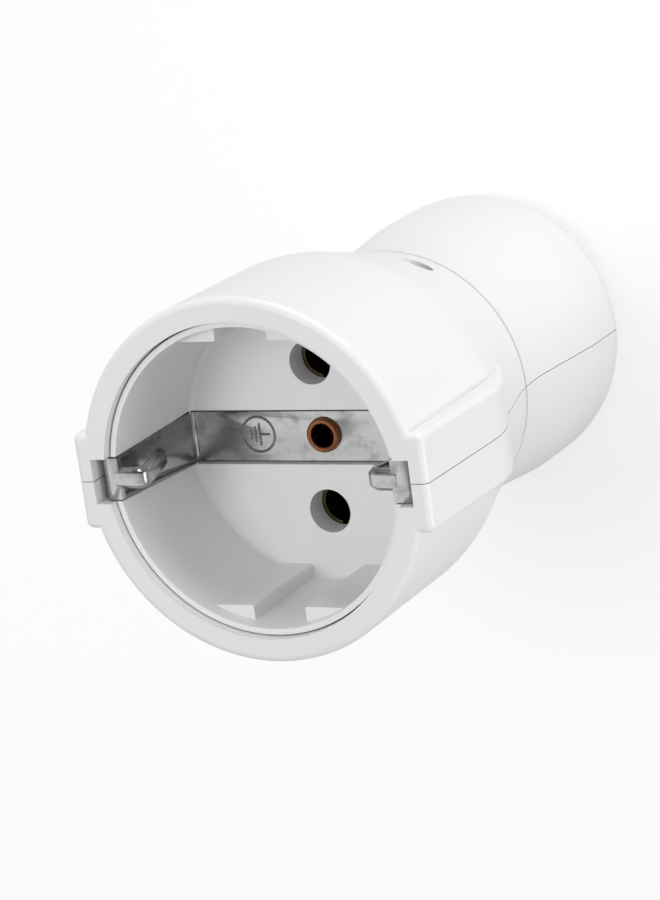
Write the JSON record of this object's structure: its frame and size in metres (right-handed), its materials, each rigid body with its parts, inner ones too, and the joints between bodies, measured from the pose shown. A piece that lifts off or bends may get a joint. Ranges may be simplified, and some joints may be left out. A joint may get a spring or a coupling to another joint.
{
  "type": "inline socket connector",
  "caption": "White round inline socket connector in two screwed half shells, with a keyed round well, pin holes and a hooked earth strip.",
  "frame": {"origin": "centre of the bounding box at the surface that the connector stands on", "axes": "+Z up: the connector stands on its cable end, with its axis along Z and its mouth up, because on its round side it would roll. The cover with the two screw heads looks along +Y, and the two half shells part at the plane Y = 0. The picture shows it lying, with -Z to the back and +Y up."},
  "size_m": [0.048, 0.045, 0.074],
  "materials": {
    "white_plastic": "satin moulded",
    "insert_plastic": "satin moulded",
    "strip_steel": "nickel plated, rolled",
    "eyelet_brass": "tarnished",
    "contact_brass": "turned",
    "spring_steel": "rolled",
    "screw_steel": "zinc plated"
  },
  "bodies": {
    "root": {"cover_shell": "white_plastic", "base_shell": "white_plastic", "socket_insert": "insert_plastic", "contact_retainer": "insert_plastic", "earth_strip": "strip_steel", "earth_eyelet": "eyelet_brass", "earth_terminal": "contact_brass", "earth_terminal_screw": "screw_steel", "cover_contact_sleeve": "contact_brass", "base_contact_sleeve": "contact_brass", "cover_sleeve_spring": "spring_steel", "base_sleeve_spring": "spring_steel", "cover_terminal_screw": "screw_steel", "base_terminal_screw": "screw_steel", "left_shell_screw": "screw_steel", "right_shell_screw": "screw_steel", "left_shell_nut": "screw_steel", "right_shell_nut": "screw_steel", "cable_clamp_bar": "white_plastic", "left_clamp_screw": "screw_steel", "right_clamp_screw": "screw_steel"}
  },
  "joints": []
}
